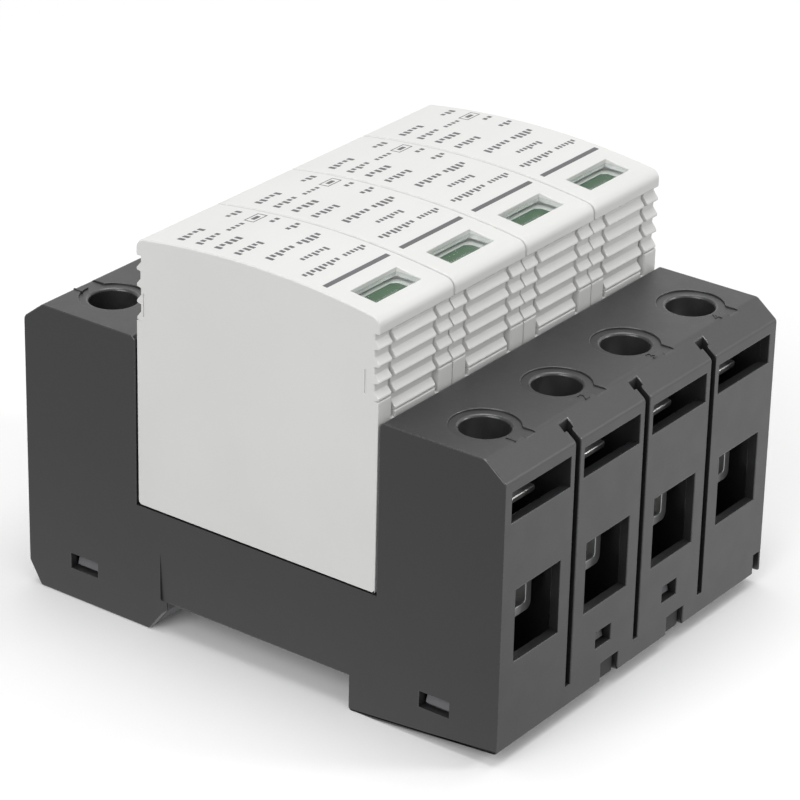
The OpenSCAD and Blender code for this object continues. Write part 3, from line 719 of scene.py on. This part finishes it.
def shade(mesh, marks):
    """Corner normals that keep flats flat and let the rounded edges, marked 1, run into them."""
    around = [[] for _ in mesh.vertices]
    for face in mesh.polygons:
        for index in face.vertices:
            around[index].append(face.index)
    normals = [face.normal.copy() for face in mesh.polygons]
    areas = [face.area for face in mesh.polygons]
    corners = []
    for face in mesh.polygons:
        own = normals[face.index]
        reach = ROUND_REACH if marks[face.index] else FLAT_REACH
        for index in face.vertices:
            near = [k for k in around[index] if own.dot(normals[k]) > reach]
            flats = [k for k in near if not marks[k]]
            total = Vector()
            for k in flats or near:
                total += normals[k] * areas[k]
            corners.append(total.normalized() if total.length > 0 else own)
    mesh.normals_split_custom_set(corners)


def put_on(name, mesh, body, slot):
    """A piece that rides on a body, in the finish of a slot unless it has one already."""
    piece = place(name, mesh)
    if not mesh.materials:
        mesh.materials.append(finish(slot))
    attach(piece, body)
    return piece


def hand_over(name, mesh, node, slot):
    """A piece that takes a node's place on its body."""
    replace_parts(put_on(name, mesh, NODES[node]["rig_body"], slot), node)


def dress(node, name, slot, rounding):
    """A node's form with rounded edges, in its place."""
    shape = merged_copy(node)
    weigh_edges(shape, rounding)
    hand_over(name, rounded_mesh(name, shape, rounding), node, slot)


def joined(name, meshes):
    """One mesh out of several."""
    shape = bmesh.new()
    for mesh in meshes:
        shape.from_mesh(mesh)
        bpy.data.meshes.remove(mesh)
    return as_mesh(name, shape)


def numeral_mesh(digit, height, depth, spot):
    """A raised digit at a spot, its foot towards -Y."""
    curve = bpy.data.curves.new("numeral", "FONT")
    curve.body = digit
    curve.size = height * FONT_SHARE
    curve.align_x = "CENTER"
    curve.align_y = "CENTER"
    curve.extrude = depth
    curve.resolution_u = FONT_STEPS
    mesh = settled(place("numeral", curve))
    mesh.transform(spot)
    return mesh


def frame_mesh(name, outer, inner, low, high):
    """A flat frame between two rings of as many points."""
    shape = bmesh.new()
    rings = [
        [shape.verts.new((x, y, z)) for x, y in ring]
        for ring, z in ((outer, high), (inner, high), (inner, low), (outer, low))
    ]
    count = len(outer)
    for near, far in zip(rings, rings[1:] + rings[:1]):
        for k in range(count):
            after = (k + 1) % count
            shape.faces.new((near[k], near[after], far[after], far[k]))
    bmesh.ops.recalc_face_normals(shape, faces=shape.faces)
    return as_mesh(name, shape)


# Geometry trees

def geometry_tree(name, inputs, fill):
    """A geometry tree, built once. fill wires it and returns what is then painted."""
    found = bpy.data.node_groups.get(name)
    if found:
        return found
    inputs = {**inputs, "Finish": "NodeSocketMaterial"}
    net, start, end = new_group(name, "GeometryNodeTree", inputs, {"Geometry": GEOMETRY})
    given = start.outputs
    real = net.node("GeometryNodeRealizeInstances", {"Geometry": fill(net, given)}).outputs[0]
    values = {"Geometry": real, "Material": given["Finish"]}
    net.feed(end.inputs[0], net.node("GeometryNodeSetMaterial", values).outputs[0])
    return net.tree


def grown(name, tree, values, points=None):
    """The mesh that a geometry tree makes from these named values."""
    seed = place(name + "_seed", points or bpy.data.meshes.new(name + "_seed"))
    modifier = seed.modifiers.new("tree", "NODES")
    modifier.node_group = tree
    for item in tree.interface.items_tree:
        if item.item_type == "SOCKET" and item.in_out == "INPUT" and item.name in values:
            modifier[item.identifier] = values[item.name]
    mesh = settled(seed)
    mesh.name = name
    if not mesh.polygons:
        raise RuntimeError(f"{name} came out empty")
    return mesh


def helix_tree():
    """A wire wound round Z: a spring's coil or the ridge of a thread."""
    def fill(net, given):
        wound = net.node("GeometryNodeCurveSpiral", {
            "Resolution": given["Steps"], "Rotations": given["Turns"],
            "Start Radius": given["Radius"], "End Radius": given["Radius"],
            "Height": given["Length"],
        })
        section = net.node("GeometryNodeCurvePrimitiveCircle", {
            "Resolution": given["Sides"], "Radius": given["Wire"],
        })
        return net.node("GeometryNodeCurveToMesh", {
            "Curve": wound.outputs[0], "Profile Curve": section.outputs[0], "Fill Caps": True,
        }).outputs[0]

    return geometry_tree("wound_wire", {
        "Turns": 9.0, "Radius": MM, "Length": 10 * MM, "Wire": 0.18 * MM,
        "Steps": COIL_STEPS, "Sides": COIL_SIDES,
    }, fill)


def print_tree():
    """Blocks of ink with round corners at the given points, on a crown that curves along Y."""
    def fill(net, given):
        def stored(label):
            made = net.node("GeometryNodeInputNamedAttribute", {"Name": label}, data_type="FLOAT")
            return made.outputs[0]

        def store(geometry, label, value):
            values = {"Geometry": geometry, "Name": label, "Value": value}
            settings = {"data_type": "FLOAT", "domain": "POINT"}
            return net.node("GeometryNodeStoreNamedAttribute", values, **settings).outputs[0]

        def along(index):
            return net.axis(net.node("GeometryNodeInputPosition").outputs[0], index)

        def moved(geometry, **offset):
            way = net.node("ShaderNodeCombineXYZ", {k.upper(): v for k, v in offset.items()})
            values = {"Geometry": geometry, "Offset": way.outputs[0]}
            return net.node("GeometryNodeSetPosition", values).outputs[0]

        round_one = {"Vertices": BLOCK_SIDES, "Radius": 0.5}
        disc = net.node("GeometryNodeMeshCircle", round_one, fill_type="NGON").outputs[0]
        for label, index in (("to_x", 0), ("to_y", 1)):
            disc = store(disc, label, net.math("SIGN", along(index)))
        draw = {"Probability": LOW_CHANCE, "Seed": given["Seed"]}
        chance = net.node("FunctionNodeRandomValue", draw, data_type="BOOLEAN").outputs[3]
        lowered = net.times(chance, stored("loose"))
        cut = net.times(lowered, net.math("SUBTRACT", 1.0, given["Low share"]))
        missing = net.times(stored("tall"), cut)
        corner = given["Corner"]
        blocks = net.node("GeometryNodeInstanceOnPoints", {
            "Points": store(given["Geometry"], "missing", missing), "Instance": disc,
            "Scale": corner,
        })
        real = net.node("GeometryNodeRealizeInstances", {"Geometry": blocks.outputs[0]})
        wide = net.math("SUBTRACT", stored("wide"), corner)
        left = net.math("SUBTRACT", stored("tall"), stored("missing"))
        tall = net.math("SUBTRACT", left, corner)
        across = net.times(net.times(stored("to_x"), wide), 0.5)
        up = net.weighed(net.times(stored("to_y"), tall), 0.5, stored("missing"), 0.5)
        flat = moved(real.outputs[0], x=across, y=up)
        radius, y = given["Crown radius"], along(1)
        squares = [net.times(value, value) for value in (radius, y)]
        fall = net.math("SUBTRACT", net.math("SQRT", net.math("SUBTRACT", *squares)), radius)
        laid = moved(flat, z=net.math("ADD", given["Crown top"], fall))
        thick = {"Mesh": laid, "Offset Scale": given["Ink"], "Individual": True}
        return net.node("GeometryNodeExtrudeMesh", thick).outputs[0]

    return geometry_tree("crown_print", {
        "Geometry": GEOMETRY, "Crown radius": 141.5 * MM, "Crown top": 66.5 * MM,
        "Ink": 0.005 * MM, "Corner": BLOCK_CORNER * MM, "Low share": 0.66, "Seed": 7,
    }, fill)


def print_points(name):
    """The places and sizes of the print's blocks and marks. Only blocks, loose, may be low."""
    spots = [(x, y, wide, tall, 0.0) for x, y, wide, tall in PRINT_MARKS]
    for first, last, y, tall, pitch in PRINT_ROWS:
        count = max(2, round((last - first) / pitch))
        step = (last - first) / count
        wide = step * BLOCK_SHARE
        spots += [(first + step * (k + 0.5), y, wide, tall, 1.0) for k in range(count)]
    points = bpy.data.meshes.new(name)
    points.from_pydata([(x * MM, y * MM, 0.0) for x, y, *_ in spots], [], [])
    for label, index, unit in (("wide", 2, MM), ("tall", 3, MM), ("loose", 4, 1.0)):
        stored = points.attributes.new(label, "FLOAT", "POINT")
        stored.data.foreach_set("value", [spot[index] * unit for spot in spots])
    return points


# Operators

class ArresterOperator(Operator):
    """Shared by the operators of the arrester."""

    bl_options = {"REGISTER", "UNDO"}

    def execute(self, context):
        self.make(context.scene.arrester_sizes)
        return {"FINISHED"}


class ARRESTER_OT_housing(ArresterOperator):
    """Round and grain the housing, and number its poles"""

    bl_idname = "arrester.housing"
    bl_label = "Housing"

    def make(self, sizes):
        dress("base_housing", "housing_moulding", "base_plastic", sizes.housing_round)
        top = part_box("base_housing")[1].z + sizes.numeral_rise
        meshes = []
        for terminal in TERMINALS:
            end, pole = terminal.split("_")
            foot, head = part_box(f"terminal_screw_{terminal}")
            middle = (foot + head) / 2
            outward, facing = (-1, 0.0) if end == "front" else (1, math.pi)
            spot = Matrix.Translation((
                middle.x - sizes.numeral_aside,
                middle.y + outward * sizes.numeral_out,
                top - sizes.numeral_depth,
            ))
            turned = spot @ Matrix.Rotation(facing, 4, "Z")
            meshes.append(numeral_mesh(pole, sizes.numeral, sizes.numeral_depth, turned))
        put_on("pole_numerals", joined("pole_numerals", meshes), "base", "base_plastic")


class ARRESTER_OT_cover(ArresterOperator):
    """Round and grain the bottom cover"""

    bl_idname = "arrester.cover"
    bl_label = "Bottom cover"

    def make(self, sizes):
        dress("bottom_cover", "cover_moulding", "cover_plastic", sizes.cover_round)


class ARRESTER_OT_latches(ArresterOperator):
    """Finish the rail latches and wind their springs"""

    bl_idname = "arrester.latches"
    bl_label = "Rail latches"

    def make(self, sizes):
        for pole in LATCH_POLES:
            name = f"latch_moulding_{pole}"
            dress(f"rail_latch_{pole}", name, "latch_plastic", sizes.inner_round)
            self.spring(pole, sizes)

    def spring(self, pole, sizes):
        name, node = f"latch_coil_{pole}", f"latch_spring_{pole}"
        low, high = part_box(node)
        middle = (low + high) / 2
        wire = sizes.spring_wire
        coil = grown(name, helix_tree(), {
            "Turns": float(sizes.spring_turns), "Radius": (high.x - low.x) / 2 - wire,
            "Length": high.y - low.y - 2 * wire, "Wire": wire,
            "Steps": COIL_STEPS, "Sides": COIL_SIDES, "Finish": finish("spring_steel"),
        })
        start = Matrix.Translation((middle.x, low.y + wire, middle.z))
        coil.transform(start @ Matrix.Rotation(-math.pi / 2, 4, "X"))
        coil.polygons.foreach_set("use_smooth", [True] * len(coil.polygons))
        hand_over(name, coil, node, "spring_steel")


class ARRESTER_OT_contacts(ArresterOperator):
    """Finish the tinned contact strips"""

    bl_idname = "arrester.contacts"
    bl_label = "Contact strips"

    def make(self, sizes):
        for terminal in TERMINALS:
            name = f"contact_pressing_{terminal}"
            dress(f"contact_strip_{terminal}", name, "contact_tin", sizes.strip_round)


class ARRESTER_OT_cages(ArresterOperator):
    """Finish the zinc plated clamp cages"""

    bl_idname = "arrester.cages"
    bl_label = "Clamp cages"

    def make(self, sizes):
        for terminal in TERMINALS:
            name = f"cage_casting_{terminal}"
            dress(f"clamp_cage_{terminal}", name, "cage_zinc", sizes.metal_round)


class ARRESTER_OT_screws(ArresterOperator):
    """Finish the terminal screws and cut their threads"""

    bl_idname = "arrester.screws"
    bl_label = "Terminal screws"

    def make(self, sizes):
        for terminal in TERMINALS:
            self.screw(terminal, sizes)

    def screw(self, terminal, sizes):
        name, node = f"terminal_screw_turned_{terminal}", f"terminal_screw_{terminal}"
        low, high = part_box(node)
        middle = (low + high) / 2
        seat = high.z - HEAD_HEIGHT
        shape = merged_copy(node)
        self.thin_shank(shape, middle, seat, CREST_RADIUS - sizes.thread_depth)
        weigh_edges(shape, sizes.metal_round)
        blank = rounded_mesh(f"screw_blank_{terminal}", shape, sizes.metal_round)
        run = seat - low.z - THREAD_SPARE
        ridge = sizes.thread_depth * RIDGE_SHARE
        thread = grown(f"screw_thread_{terminal}", helix_tree(), {
            "Turns": run / sizes.thread_pitch, "Radius": CREST_RADIUS - ridge, "Length": run,
            "Wire": ridge, "Steps": THREAD_STEPS, "Sides": THREAD_SIDES,
            "Finish": finish("screw_zinc"),
        })
        thread.transform(Matrix.Translation((middle.x, middle.y, low.z + THREAD_START)))
        thread.materials.clear()
        hand_over(name, joined(name, [blank, thread]), node, "screw_zinc")

    def thin_shank(self, shape, middle, seat, root):
        """Takes the shank in to the root of its thread."""
        for vert in shape.verts:
            out = Vector((vert.co.x - middle.x, vert.co.y - middle.y))
            if vert.co.z < seat - SEAT_PLAY and out.length > root:
                vert.co.x = middle.x + out.x * root / out.length
                vert.co.y = middle.y + out.y * root / out.length


class ARRESTER_OT_cartridges(ArresterOperator):
    """Round the white cartridge shells and print their crowns"""

    bl_idname = "arrester.cartridges"
    bl_label = "Cartridges"

    def make(self, sizes):
        for pole in POLES:
            node = f"cartridge_shell_{pole}"
            dress(node, f"cartridge_moulding_{pole}", "shell_white", sizes.shell_round)
            self.print_crown(pole, node, sizes)

    def print_crown(self, pole, node, sizes):
        name = f"cartridge_print_{pole}"
        low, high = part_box(node)
        half = (high.y - low.y) / 2
        radius = (half * half + sizes.crown_rise ** 2) / (2 * sizes.crown_rise)
        ink = grown(name, print_tree(), {
            "Crown radius": radius, "Crown top": high.z, "Ink": sizes.ink,
            "Finish": finish("print"),
        }, print_points(f"print_points_{pole}"))
        ink.transform(Matrix.Translation(((low.x + high.x) / 2, 0.0, 0.0)))
        put_on(name, ink, f"cartridge_{pole}", "shell_white")


class ARRESTER_OT_windows(ArresterOperator):
    """Finish the clear windows, their masks and the status flags under them"""

    bl_idname = "arrester.windows"
    bl_label = "Windows and flags"

    def make(self, sizes):
        fine = sizes.metal_round
        for pole in POLES:
            dress(f"window_lens_{pole}", f"window_moulding_{pole}", "lens_clear", fine)
            dress(f"status_flag_{pole}", f"flag_moulding_{pole}", "flag_green", fine)
            self.mask(pole, sizes)

    def mask(self, pole, sizes):
        name = f"window_mask_{pole}"
        low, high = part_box(f"window_lens_{pole}")
        left, front = low.x + sizes.mask_gap, low.y + sizes.mask_gap
        right, back = high.x - sizes.mask_gap, high.y - sizes.mask_gap
        west, south = low.x + sizes.mask_edge, low.y + sizes.mask_edge
        east, north = high.x - sizes.mask_side, high.y - sizes.mask_back
        cut = sizes.mask_corner
        turn = north - cut
        outer = [(left, front), (right, front), (right, turn), (right, back), (left, back)]
        inner = [(west, south), (east, south), (east, turn), (east - cut, north), (west, north)]
        top = low.z - sizes.mask_gap
        sheet = frame_mesh(name, outer, inner, top - sizes.mask_sheet, top)
        put_on(name, sheet, f"cartridge_{pole}", "shell_white")


class ARRESTER_OT_cores(ArresterOperator):
    """Finish the carriers, varistors and electrodes inside the cartridges"""

    bl_idname = "arrester.cores"
    bl_label = "Cartridge cores"

    def make(self, sizes):
        inner = sizes.inner_round
        for pole in POLES:
            dress(f"cartridge_carrier_{pole}", f"carrier_moulding_{pole}", "carrier_red", inner)
            dress(f"varistor_{pole}", f"varistor_dipped_{pole}", "varistor_coat", DIPPED * inner)
        for terminal in TERMINALS:
            name = f"electrode_pressing_{terminal}"
            dress(f"electrode_{terminal}", name, "electrode_tin", sizes.metal_round)


class ARRESTER_OT_stage(ArresterOperator):
    """Set the floor, the lamps, the world and the camera"""

    bl_idname = "arrester.stage"
    bl_label = "Stage"

    def execute(self, context):
        scene = context.scene
        stage = scene.arrester_stage
        self.floor(stage)
        self.world(scene, stage)
        for name, (spot, size) in LAMPS.items():
            self.lamp(name, Vector(spot), size, getattr(stage, name))
        self.camera(scene)
        scene.view_settings.view_transform = "Standard"
        return {"FINISHED"}

    def floor(self, stage):
        shape = bmesh.new()
        bmesh.ops.create_grid(shape, x_segments=1, y_segments=1, size=FLOOR_HALF)
        mesh = as_mesh("floor", shape)
        mesh.transform(Matrix.Translation((0.0, 0.0, -FLOOR_DROP)))
        mesh.materials.append(self.paper(stage))
        place("floor", mesh)

    def paper(self, stage):
        """White paper that throws back little light and fades to plain white further off."""
        made, net, shader = new_finish("floor_paper")
        path = net.node("ShaderNodeLightPath").outputs
        spot = net.spot()
        grained = net.group(moulded_grain(), {"Grain": 900.0, "Drift": 4.0})
        tone = net.mixed(
            grained["Tone"], scaled(stage.floor, FLOOR_DIM), scaled(stage.floor, 1.0)
        )
        thrown = scaled(stage.floor, stage.bounce)
        net.feed(shader.inputs["Base Color"], net.mixed(path["Is Camera Ray"], thrown, tone))
        shader.inputs["Roughness"].default_value = 0.9
        shader.inputs["Specular IOR Level"].default_value = 0.1
        across = net.times(net.axis(spot, 0), FLOOR_ACROSS)
        falloff = net.group(studio_falloff(), {"Across": across})["Tone"]
        mirrored = net.node("ShaderNodeEmission", {"Color": falloff, "Strength": stage.mirrored})
        away = net.node("ShaderNodeVectorMath", {0: spot}, operation="LENGTH").outputs["Value"]
        far = net.times(path["Is Camera Ray"], net.ranged(away, *FLOOR_FADE))
        white = net.node("ShaderNodeEmission", {"Color": WHITE, "Strength": 1.0})
        near = net.shared(path["Is Glossy Ray"], shader, mirrored)
        net.show(net.shared(far, near, white))
        return made

    def world(self, scene, stage):
        world = bpy.data.worlds.new("studio")
        world.use_nodes = True
        scene.world = world
        net = Wiring(world.node_tree)
        net.tree.nodes.clear()
        path = net.node("ShaderNodeLightPath").outputs
        seen = net.math("MAXIMUM", path["Is Camera Ray"], path["Is Transmission Ray"])
        shown = net.math("MAXIMUM", seen, path["Is Glossy Ray"])
        across = net.axis(net.node("ShaderNodeTexCoord").outputs["Generated"], 0)
        falloff = net.group(studio_falloff(), {"Across": across})["Tone"]
        tone = net.mixed(seen, falloff, WHITE)
        soft = net.node("ShaderNodeBackground", {"Color": WHITE, "Strength": stage.ambient})
        white = net.node("ShaderNodeBackground", {"Color": tone, "Strength": 1.0})
        both = net.shared(shown, soft, white)
        end = net.node("ShaderNodeOutputWorld", {"Surface": both.outputs[0]})
        end.is_active_output = True

    def lamp(self, name, spot, size, power):
        light = bpy.data.lights.new(name, "AREA")
        light.shape = "DISK"
        light.size = size
        light.energy = power
        made = place(name, light)
        made.location = spot
        made.rotation_euler = (LAMP_AIM - spot).to_track_quat("-Z", "Y").to_euler()

    def camera(self, scene):
        lens = bpy.data.cameras.new("camera")
        lens.sensor_width = CAMERA_SENSOR
        lens.lens = CAMERA_LENS
        lens.shift_x, lens.shift_y = CAMERA_SHIFT
        made = place("camera", lens)
        turned = Matrix(CAMERA_AXES).transposed().to_4x4()
        made.matrix_world = Matrix.Translation(CAMERA_SPOT) @ turned
        scene.camera = made


class ARRESTER_PT_panel(Panel):
    """Sizes, colours and steps of the arrester."""

    bl_idname = "ARRESTER_PT_panel"
    bl_label = "Surge arrester"
    bl_space_type = "VIEW_3D"
    bl_region_type = "UI"
    bl_category = "Arrester"

    def draw(self, context):
        for name in GROUPS:
            group = getattr(context.scene, name)
            box = self.layout.box()
            for label in group.__annotations__:
                box.prop(group, label)
        for step in STEPS:
            self.layout.operator(step.bl_idname)


STEPS = (
    ARRESTER_OT_housing,
    ARRESTER_OT_cover,
    ARRESTER_OT_latches,
    ARRESTER_OT_contacts,
    ARRESTER_OT_cages,
    ARRESTER_OT_screws,
    ARRESTER_OT_cartridges,
    ARRESTER_OT_windows,
    ARRESTER_OT_cores,
    ARRESTER_OT_stage,
)
GROUPS = {
    "arrester_sizes": ArresterSizes,
    "arrester_colours": ArresterColours,
    "arrester_stage": ArresterStage,
}
CLASSES = (*GROUPS.values(), *STEPS, ARRESTER_PT_panel)


def register():
    for made in CLASSES:
        bpy.utils.register_class(made)
    for label, group in GROUPS.items():
        setattr(bpy.types.Scene, label, PointerProperty(type=group))


def unregister():
    for label in GROUPS:
        delattr(bpy.types.Scene, label)
    for made in reversed(CLASSES):
        bpy.utils.unregister_class(made)


def main():
    register()
    for step in STEPS:
        family, name = step.bl_idname.split(".")
        getattr(getattr(bpy.ops, family), name)()
    bpy.context.view_layer.update()


if __name__ == "__main__":
    main()
